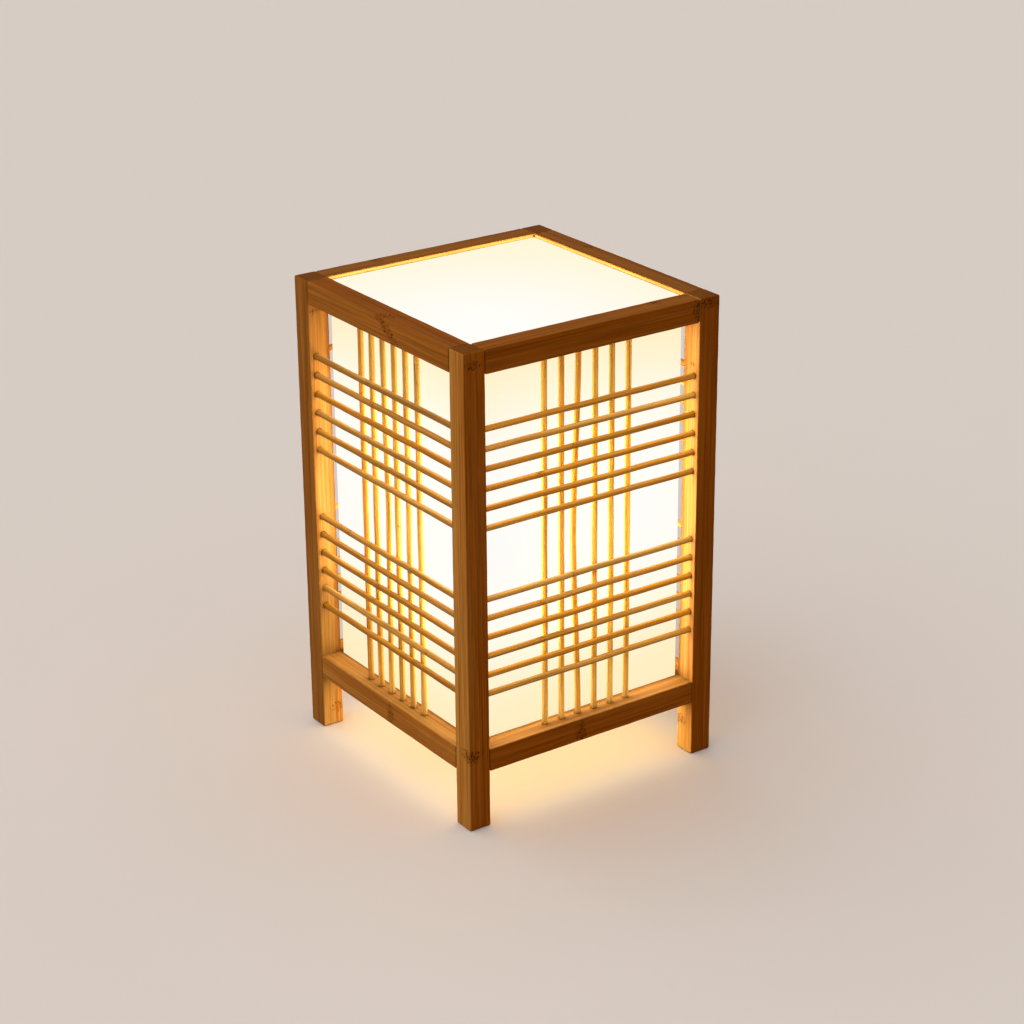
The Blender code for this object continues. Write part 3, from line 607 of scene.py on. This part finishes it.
def make_frame():
    """Posts and rails: rounded sticks with their grain along their length, the hue and lightness of their
    faces and the knuckles that show on them. The faces' hue and lightness are partly the stock's own tone and
    partly painted light and shade: faces lit by the sheets' glow are paler and yellower, and the outer front
    faces, in shade, are deeper and redder."""
    half = STOCK / 2
    middle = FACE - half
    step = 0.00125  # between rings along the grain
    plain = (0.5, 1.0)
    # The signs of a post's place, its faces' hue and lightness (partly painted light and shade) and its
    # knuckles
    posts = {"front_left": (-1, -1, [plain, plain, (0.74, 1.2), (0.10, 1.22)],
                            [(0.0485, -half, -half, 0.0, 1.1), (0.2885, -0.001, -half, 0.0, 0.62)]),
             "front_right": (1, -1, [plain, plain, (1.0, 1.28), (0.05, 1.07)],
                             [(0.2548, -half, -0.002, 0.0, 0.3), (0.020, -half, half, 0.0, 1.0),
                              # This mark at 0.293 darkens the top of the front face, toward the front's top
                              # right corner
                              (0.293, 0.0, -half, 0.0, 0.9)]),
             "back_right": (1, 1, [plain] * 4,
                            [(0.176, half, half, 0.0, 1.0), (0.063, half, -half, 0.0, 1.0)]),
             "back_left": (-1, 1, [plain, plain, (0.5, 0.79), (0.8, 0.97)],
                           [(0.2775, -0.001, -half, 0.3, 0.6), (0.012, half, -half, 0.0, 1.0)])}
    for corner, (x, y, tones_and_painted_light, knuckles) in posts.items():
        shape = stick(HEIGHT, half, half, EDGE, step, EDGE_WANDER, knuckles, tones_and_painted_light)
        piece("post_" + corner, placed(shape, ALONG_Z, (x * middle, y * middle, 0)), BAMBOO)
    shoulder = OPENING - GAP
    # The hue and lightness of a rail's faces (partly painted light and shade) and its knuckles
    rails = {"top_rail_front": ([plain, (0.40, 1.04), (0.10, 1.08), plain],
                                # The mark at 0.149 darkens the outer face's right end, toward the front's top
                                # right corner
                                [(0.125, half, half, 0.0, 1.0), (0.149, -half, 0.0, 0.0, 0.9)]),
             "bottom_rail_front": ([plain, (0.85, 0.88), (0.10, 1.19), plain],
                                   [(0.066, -half, -0.002, 0.0, 0.9)]),
             "top_rail_left": ([(0.42, 0.88), (0.25, 0.95), plain, plain],
                               [(0.0640, half, 0.001, 1.2, 1.35)]),
             "bottom_rail_left": ([(0.52, 1.04), (0.85, 0.9), plain, plain],
                                  [(0.071, half, -0.002, 0.0, 0.9)]),
             "top_rail_back": ([plain, (0.45, 0.95), (1.0, 1.0), plain], [(0.041, half, half, 0.0, 1.0)]),
             "bottom_rail_back": ([plain] * 4, [(0.101, half, -half, 0.0, 1.0)]),
             "top_rail_right": ([(1.0, 1.0), (0.45, 0.95), plain, plain], [(0.108, -half, half, 0.0, 1.0)]),
             "bottom_rail_right": ([plain] * 4, [(0.033, -half, half, 0.0, 1.0)])}
    sides = (("front", ALONG_X, -1), ("back", ALONG_X, 1), ("left", ALONG_Y, -1), ("right", ALONG_Y, 1))
    for level, foot in (("top", BAY_HEAD), ("bottom", LEG)):
        for side, axes, sign in sides:
            node = level + "_rail_" + side
            tones_and_painted_light, knuckles = rails[node]
            shape = stick(2 * shoulder, half, half, EDGE, step, EDGE_WANDER, knuckles, tones_and_painted_light)
            across = (-shoulder, sign * middle) if axes is ALONG_X else (sign * middle, -shoulder)
            piece(node, placed(shape, axes, (*across, foot + half)), BAMBOO)


def make_lattices():
    """Each side's rods: twelve level ones in two bands, six uprights behind them, and dark rings round their
    ends that paint the shade in their holes."""
    steps = BAND_GAP / 2 + ROD_PITCH * np.arange(6)
    heights = np.concatenate([BAY_MIDDLE - steps, BAY_MIDDLE + steps])
    places = (np.arange(6) - 2.5) * ROD_PITCH
    reach = OPENING + ROD_SEAT
    tall = BAY_HEAD - BAY_FOOT + 2 * ROD_SEAT
    for side in SIDE_TURNS:
        shapes = []
        for height in heights:
            line = (-reach, -FACE + LEVEL_DEPTH, height)
            shapes.append(placed(rod(2 * reach, *LEVEL_ROD), ALONG_X, line))
            shapes += [placed(rim(end), ALONG_X, line) for end in (ROD_SEAT, 2 * reach - ROD_SEAT)]
        for number, place in enumerate(places):
            line = (place, -FACE + UPRIGHT_DEPTH, BAY_FOOT - ROD_SEAT)
            bow = BOWS.get(side, 0.0) if number == BOWED_ROD else 0.0
            shapes.append(placed(rod(tall, *UPRIGHT_ROD, bow, ROD_SEAT), ALONG_Z, line))
            shapes += [placed(rim(end), ALONG_Z, line) for end in (ROD_SEAT, tall - ROD_SEAT)]
        piece("lattice_" + side, turned_to(joined(shapes), side), ROD_BAMBOO)


def make_sheets():
    """The four side sheets and the top sheet: thin plates with eased edges."""
    for side in SIDE_TURNS:
        shape = stick(SHEET_HEAD - SHEET_FOOT, SHEET_HALF, SHEET_HALF_THICKNESS, 0.00015, 0.012)
        shape["points"] += (0, -SHEET_PLANE, SHEET_FOOT)
        piece("sheet_" + side, turned_to(shape, side), SIDE_SHEET)
    shape = stick(TOP_SHEET_THICKNESS, TOP_SHEET_HALF, TOP_SHEET_HALF, 0.0001, 0.0005)
    piece("top_sheet", placed(shape, ALONG_Z, (0, 0, TOP_SHEET_FOOT)), TOP_SHEET)


def make_bar():
    """The bar across the bottom, and the threaded nipple, nut and washer under it."""
    shape = stick(2 * BAR_REACH, BAR_HALF_WIDTH, BAR_HALF, EDGE, 0.0025, 0.0001,
                  [(0.117, -BAR_HALF, -BAR_HALF, 0.0, 1.0)])
    piece("holder_bar", placed(shape, ALONG_X, (-BAR_REACH, 0, BAR_MIDDLE)), BAMBOO)
    washer = [(EYE, WASHER_FOOT), (WASHER_RADIUS, WASHER_FOOT), (WASHER_RADIUS, WASHER_TOP),
              (EYE, WASHER_TOP)]
    piece("nut_washer", turned(eased(washer, 0.0002), 64), STEEL)

    def hexagon(radius, height, angle):
        """Six flats, cut by a cone at the nut's two faces."""
        flat = NUT_FLAT / np.cos((angle + math.pi / 6) % (math.pi / 3) - math.pi / 6)
        cone = 0.0075 + 1.7 * np.minimum(height - NUT_FOOT, NUT_TOP - height)
        return np.where(radius > EYE + 0.0005, radius / NUT_CORNER * np.minimum(flat, cone), radius)
    nut = [(EYE, NUT_FOOT), (NUT_CORNER, NUT_FOOT), (NUT_CORNER, NUT_TOP), (EYE, NUT_TOP)]
    piece("lock_nut", turned(cut_fine(nut, 0.00025), 96, form=hexagon), STEEL)
    foot = NUT_FOOT - NIPPLE_TAIL

    def thread(radius, height, angle):
        """A fine screw thread on the outside only, run out at both ends."""
        wave = 0.00028 * (1 - np.cos(angle - height * 2 * math.pi / NIPPLE_PITCH))
        first, last = foot + 0.0002, NIPPLE_HEAD - 0.0002
        inside = np.clip(np.minimum(height - first, last - height) / 0.0006, 0, 1)
        return np.where(radius > NIPPLE_RADIUS - 0.0005, radius - wave * inside, radius)
    tube = [(NIPPLE_BORE, foot), (NIPPLE_RADIUS, foot), (NIPPLE_RADIUS, NIPPLE_HEAD),
            (NIPPLE_BORE, NIPPLE_HEAD)]
    piece("threaded_nipple", turned(cut_fine(tube, 0.00013), 36, form=thread), STEEL)


def make_holder():
    """The lampholder: cap, insert, threaded shell, ribbed outer shell and the spring contact, a strip whose
    middle rises by a smooth step at both ends."""
    cap = [(EYE, HOLDER_FOOT), (CAP_NECK, HOLDER_FOOT), (CAP_NECK, CAP_NECK_TOP),
           (HOLDER_RADIUS, CAP_SHOULDER), (HOLDER_RADIUS, CAP_TOP), (CAP_BORE, CAP_TOP), (CAP_BORE, CAP_SEAT),
           (EYE, CAP_FLOOR)]
    piece("holder_cap", turned(eased(cap, 0.0008), 72), BLACK)
    boss, flange, boss_foot = CAP_BORE - GAP, SKIRT_BORE - GAP, CAP_SEAT + 0.0008
    insert = [(0, boss_foot), (boss, boss_foot), (boss, INSERT_FOOT), (flange, INSERT_FOOT),
              (flange, INSERT_TOP), (0, INSERT_TOP)]
    piece("holder_insert", turned(eased(insert, 0.0004, False), 64, loop=False), CERAMIC)

    def ribs(radius, height, angle):
        """Low grip ribs round the skirt."""
        first, last = INSERT_FOOT + 0.0006, SKIRT_TOP - 0.0008
        skirt = np.clip(np.minimum(height - first, last - height) / 0.0006, 0, 1)
        wave = 0.00022 * (1 - np.cos(RIBS * angle))
        return np.where(radius > 0.0188, radius - skirt * wave, radius)
    rim_radius = SHELL_BORE + SHELL_WALL
    shell = [(SKIRT_BORE, INSERT_FOOT), (HOLDER_RADIUS, INSERT_FOOT), (HOLDER_RADIUS, SKIRT_TOP),
             (rim_radius, SHELL_MOUTH), (SHELL_BORE, SHELL_MOUTH), (SHELL_BORE, SCREW_FOOT),
             (SKIRT_BORE, SCREW_FOOT)]
    shell = cut_fine(eased(shell, 0.0005), 0.0006)
    piece("holder_shell", turned(shell, 6 * RIBS, form=ribs), BLACK)

    def groove(radius, height, angle):
        """The screw's wave round the shell's wall, smooth at its foot and mouth."""
        wave = np.cos(angle - height * 2 * math.pi / THREAD)
        first, last = SCREW_FOOT + 0.0016, SCREW_TOP - 0.0005
        inside = np.clip(np.minimum(height - first, last - height) / 0.0012, 0, 1)
        return np.where(radius > 0.0125, radius - 0.00025 * inside * (1 - wave), radius)
    bore, floor = SCREW_RADIUS - 0.00055, SCREW_FOOT + 0.0005
    screw = [(SCREW_EYE, SCREW_FOOT), (SCREW_RADIUS, SCREW_FOOT), (SCREW_RADIUS, SCREW_TOP),
             (bore, SCREW_TOP), (bore, floor), (SCREW_EYE, floor)]
    piece("screw_shell", turned(cut_fine(eased(screw, 0.0003), 0.0004), 72, form=groove), BRASS)
    along = np.linspace(-CONTACT_REACH, CONTACT_REACH, 65)
    lift = np.clip((0.0056 - np.abs(along)) / 0.0026, 0, 1)
    height = CONTACT_RISE * lift ** 2 * (3 - 2 * lift)
    slope = np.gradient(height, along)
    tilt = np.stack([-slope, 0 * slope, np.ones_like(slope)], axis=-1) / np.hypot(slope, 1)[:, None]
    section = outline(0.0025, 0.00029, 0.0001)
    centre = np.stack([along, 0 * along, SCREW_FOOT + CONTACT_HALF + height], axis=-1)
    across = section[None, :, :1] * np.array((0, 1, 0))
    rings = centre[:, None] + across + section[None, :, 1:] * tilt[:, None]
    piece("centre_contact", skin(rings, centre[0], centre[-1]), BRASS)


def make_bulb():
    """The bulb: contact, insulator, threaded cap, housing that flares by a quarter sine, board with its light
    sources, and a globe of two spheres."""
    button = [(0, TIP_FOOT), (TIP_RADIUS - 0.001, TIP_FOOT), (TIP_RADIUS, TIP_FOOT + 0.001),
              (TIP_RADIUS, TIP_TOP), (0, TIP_TOP)]
    button = turned(eased(button, 0.0004, False), 48, loop=False)
    piece("bulb_contact", button, STEEL, "bulb_tip")
    insulator = [(0, INSULATOR_FOOT), (0.007, INSULATOR_FOOT), (INSULATOR_RADIUS, INSULATOR_TOP - 0.001),
                 (INSULATOR_RADIUS, INSULATOR_TOP), (0, INSULATOR_TOP)]
    insulator = turned(eased(insulator, 0.0004, False), 56, loop=False)
    piece("bulb_insulator", insulator, BLACK, "bulb")

    def screw(radius, height, angle):
        """The rolled screw of the cap, run out at its foot and under its rim."""
        wave = np.cos(angle - height * 2 * math.pi / THREAD)
        first, last = BULB_CAP_FOOT + 0.0019, BULB_CAP_TOP - 0.0034
        inside = np.clip(np.minimum(height - first, last - height) / 0.0015, 0, 1)
        return np.where(radius > 0.0118, radius - 0.0004 * inside * (1 - wave), radius)
    cone, floor = BULB_CAP_RADIUS - BULB_CAP_CHAMFER, BULB_CAP_FOOT + BULB_CAP_WALL
    cap = [(BULB_CAP_EYE, BULB_CAP_FOOT), (cone, BULB_CAP_FOOT),
           (BULB_CAP_RADIUS, BULB_CAP_FOOT + BULB_CAP_CHAMFER), (BULB_CAP_RADIUS, BULB_CAP_TOP),
           (BULB_CAP_BORE, BULB_CAP_TOP), (BULB_CAP_BORE, floor + BULB_CAP_CHAMFER), (cone, floor),
           (BULB_CAP_EYE, floor)]
    piece("bulb_cap", turned(cut_fine(eased(cap, 0.0002), 0.0004), 72, form=screw), STEEL, "bulb")
    share = np.linspace(0, 1, 25)
    flare = np.column_stack([BULB_CAP_RADIUS + (HOUSING_RIM - BULB_CAP_RADIUS) * np.sin(math.pi / 2 * share),
                             HOUSING_FOOT + HOUSING_HEIGHT * share])
    seat, neck = HOUSING_RIM - HOUSING_WALL, PLUG_RADIUS - HOUSING_WALL
    inside = [(seat, HOUSING_TOP), (seat, LEDGE), (seat - 0.003, LEDGE), (neck, HOUSING_FOOT + HOUSING_WALL),
              (neck, PLUG_FOOT), (PLUG_RADIUS, PLUG_FOOT), (PLUG_RADIUS, HOUSING_FOOT)]
    housing = cut_fine(np.concatenate([flare, inside]), 0.0012)
    piece("bulb_housing", turned(housing, 80), WHITE, "bulb")
    disc = [(0, BOARD_FOOT), (BOARD_RADIUS, BOARD_FOOT), (BOARD_RADIUS, BOARD_TOP), (0, BOARD_TOP)]
    shapes = [turned(eased(disc, 0.0003, False), 64, loop=False)]
    for angle in np.arange(CHIPS) * 2 * math.pi / CHIPS:
        chip = stick(0.0007, 0.0015, 0.0015, 0.0002, 0.0002)
        chip["marks"] = {}
        spot = (CHIP_CIRCLE * math.cos(angle), CHIP_CIRCLE * math.sin(angle), BOARD_TOP)
        shapes.append(placed(chip, ALONG_Z, spot))
    piece("led_board", joined(shapes), BOARD, "bulb")
    inner = np.linspace(0, math.acos(-(GLOBE_MIDDLE - GLOBE_FOOT) / GLOBE_BORE), 33)
    outer = np.linspace(math.pi - math.asin(HOUSING_RIM / GLOBE_RADIUS), 0, 33)
    dome = np.concatenate([np.column_stack([r * np.sin(turn), GLOBE_MIDDLE + r * np.cos(turn)])
                           for r, turn in ((GLOBE_BORE, inner), (GLOBE_RADIUS, outer))])
    piece("bulb_globe", turned(dome, 64, loop=False), OPAL, "bulb")


def make_floor():
    """A plain pale floor far wider than the view, with a faint cloud in its colour."""
    share = np.linspace(-7, 7, 15)
    grid = np.stack(np.meshgrid(share, share, indexing="ij"), axis=-1)
    points = np.column_stack([grid.reshape(-1, 2), np.full(share.size ** 2, -0.0002)])
    index = np.arange(share.size ** 2).reshape(share.size, share.size)
    quads = np.stack([index[:-1, :-1], index[1:, :-1], index[1:, 1:], index[:-1, 1:]], axis=-1).reshape(-1, 4)
    mesh = bpy.data.meshes.new("floor")
    mesh.from_pydata(points.tolist(), [], quads.tolist())
    made, tree, shader = material("pale_floor", roughness=0.85, specular=0.1)
    place = add(tree, "TexCoord", output=3)
    cloud = noise(tree, place, (6, 6, 6), 3.0)
    pale = blend(tree, cloud, (0.768, 0.682, 0.616), (0.782, 0.694, 0.628))
    tree.links.new(pale, shader.inputs["Base Color"])
    mesh.materials.append(made)
    floor = bpy.data.objects.new("floor", mesh)
    bpy.context.scene.collection.objects.link(floor)
    return floor


def light(name, place, aim, width, depth, radiance, colour, group, shines=False):
    """A rectangular area light of a given radiance that the camera doesn't see. Unless it shines, it gives no
    gloss."""
    lamp = bpy.data.lights.new(name, "AREA")
    lamp.shape = "RECTANGLE"
    lamp.size, lamp.size_y = width, depth
    lamp.energy = radiance * math.pi * width * depth
    lamp.color = colour
    item = bpy.data.objects.new(name, lamp)
    item.location = place
    item.rotation_euler = Vector(aim).to_track_quat("-Z", "Y").to_euler()
    item.visible_camera = False
    item.visible_glossy = shines
    item.light_linking.receiver_collection = group
    bpy.context.scene.collection.objects.link(item)


def receivers(name, items, state):
    """A collection that makes a light fall only on some objects, or on all but them."""
    group = bpy.data.collections.new(name)
    for item in items:
        group.objects.link(item)
    for link in group.collection_objects:
        link.light_linking.link_state = state
    return group


def make_light(floor):
    """An even sky with a brighter part overhead, a soft day and a window from the left, light from above on
    the rods, the glow that the sheets give the frame and rods in front of them, and a warm pool under the
    lamp with its spill on the floor around. The glows lie a tenth of a millimetre apart, because lights on
    one plane lose light to each other."""
    dressed = [item for item in bpy.data.objects if item.name.startswith("fine_")]
    sheets = [item for item in dressed if "sheet" in item.name]
    rods = [item for item in dressed if "lattice" in item.name]
    frame_only = receivers("all_but_floor_sheets_and_rods", [floor, *sheets, *rods], "EXCLUDE")
    rods_only = receivers("rods_only", rods, "INCLUDE")
    floor_only = receivers("floor_only", [floor], "INCLUDE")
    warm, amber = (1.0, 0.98, 0.92), (1.0, 0.48, 0.02)
    # Radiance of each side's sheet and of its bright middle
    glows = {(0, -1): (11.0, 6.5), (1, 0): (9.0, 11.0), (0, 1): (9.0, 11.0), (-1, 0): (6.5, 9.5)}
    for way, (sheet, core) in glows.items():
        # Distance from the axis, height, width, depth, radiance, colour and what is lit
        rows = [(0.0756, 0.1658, 0.146, 0.226, sheet, warm, frame_only),
                (0.0757, 0.170, 0.146, 0.140, core, warm, frame_only),
                (0.0758, 0.1658, 0.146, 0.226, 1.8, warm, rods_only),
                (0.0759, 0.170, 0.146, 0.140, 3.1, warm, rods_only),
                (0.0905, 0.065, 0.180, 0.090, 0.33, amber, floor_only)]
        for out, height, *rest in rows:
            light("glow", (way[0] * out, way[1] * out, height), (*way, 0), *rest)
    light("top_glow", (0, 0, 0.29374), (0, 0, 1), 0.1506, 0.1506, 20.0, warm, frame_only)
    light("under_glow", (0, 0, 0.0372), (0, 0, -1), 0.148, 0.148, 20.0, warm, frame_only)
    light("pool", (0, 0, 0.022), (0, 0, -1), 0.176, 0.176, 1.2, (1.0, 0.78, 0.40), floor_only)
    light("window", (-2.5, 0.6, 1.9), (2.5, -0.6, -1.75), 2.0, 2.0, 5.4, (1.0, 0.985, 0.96), frame_only, True)
    indoors = receivers("all_but_floor", [floor], "EXCLUDE")
    for item in dressed:
        if "sheet" in item.name or "globe" in item.name:
            item.light_linking.receiver_collection = indoors
    all_but_lit = receivers("all_but_sheets_and_rods", [*sheets, *rods], "EXCLUDE")
    # Name, strength, spread in degrees, aim and what is lit
    suns = (("day", 1.42, 110, (0.62, -0.30, -0.75), all_but_lit),
            ("overhead", 0.36, 70, (0.0, 0.0, -1.0), floor_only),
            ("rods_from_above", 4.8, 36, (0.08, 0.17, -0.98), rods_only))
    for name, energy, spread, aim, group in suns:
        sun = bpy.data.lights.new(name, "SUN")
        sun.energy, sun.angle = energy, math.radians(spread)
        item = bpy.data.objects.new(name, sun)
        item.rotation_euler = Vector(aim).to_track_quat("-Z", "Y").to_euler()
        item.visible_glossy = False
        item.light_linking.receiver_collection = group
        bpy.context.scene.collection.objects.link(item)
    world = bpy.data.worlds.new("studio")
    world.use_nodes = True
    tree = world.node_tree
    back = tree.nodes["Background"]
    paths = add(tree, "LightPath")
    seen = sums(tree, "MAXIMUM", paths, sums(tree, "MAXIMUM", paths.node.outputs["Is Glossy Ray"],
                                             paths.node.outputs["Is Transmission Ray"]))
    sky = blend(tree, seen, (0.435, 0.435, 0.435), (0.682, 0.602, 0.532))
    tree.links.new(sky, back.inputs["Color"])
    bpy.context.scene.world = world


def make_camera():
    """The photograph's viewpoint, with its slight roll."""
    view = bpy.data.cameras.new("camera")
    view.sensor_width = 36.0
    view.lens = 90.924
    view.clip_end = 60.0
    place = Matrix.Translation((-0.82894, -1.19569, 0.7586))
    ahead = Vector((0.52758, 0.75712, -0.38527)).normalized()
    side = ahead.cross(Vector((0, 0, 1))).normalized()
    up = side.cross(ahead)
    roll = math.radians(-0.486)
    right = side * math.cos(roll) + up * math.sin(roll)
    top = up * math.cos(roll) - side * math.sin(roll)
    item = bpy.data.objects.new("camera", view)
    turn = Matrix((right, top, -ahead)).transposed()
    item.matrix_world = place @ turn.to_4x4()
    bpy.context.scene.collection.objects.link(item)
    bpy.context.scene.camera = item


make_frame()
make_lattices()
make_sheets()
make_bar()
make_holder()
make_bulb()
make_light(make_floor())
make_camera()
bpy.context.scene.view_settings.view_transform = "Standard"
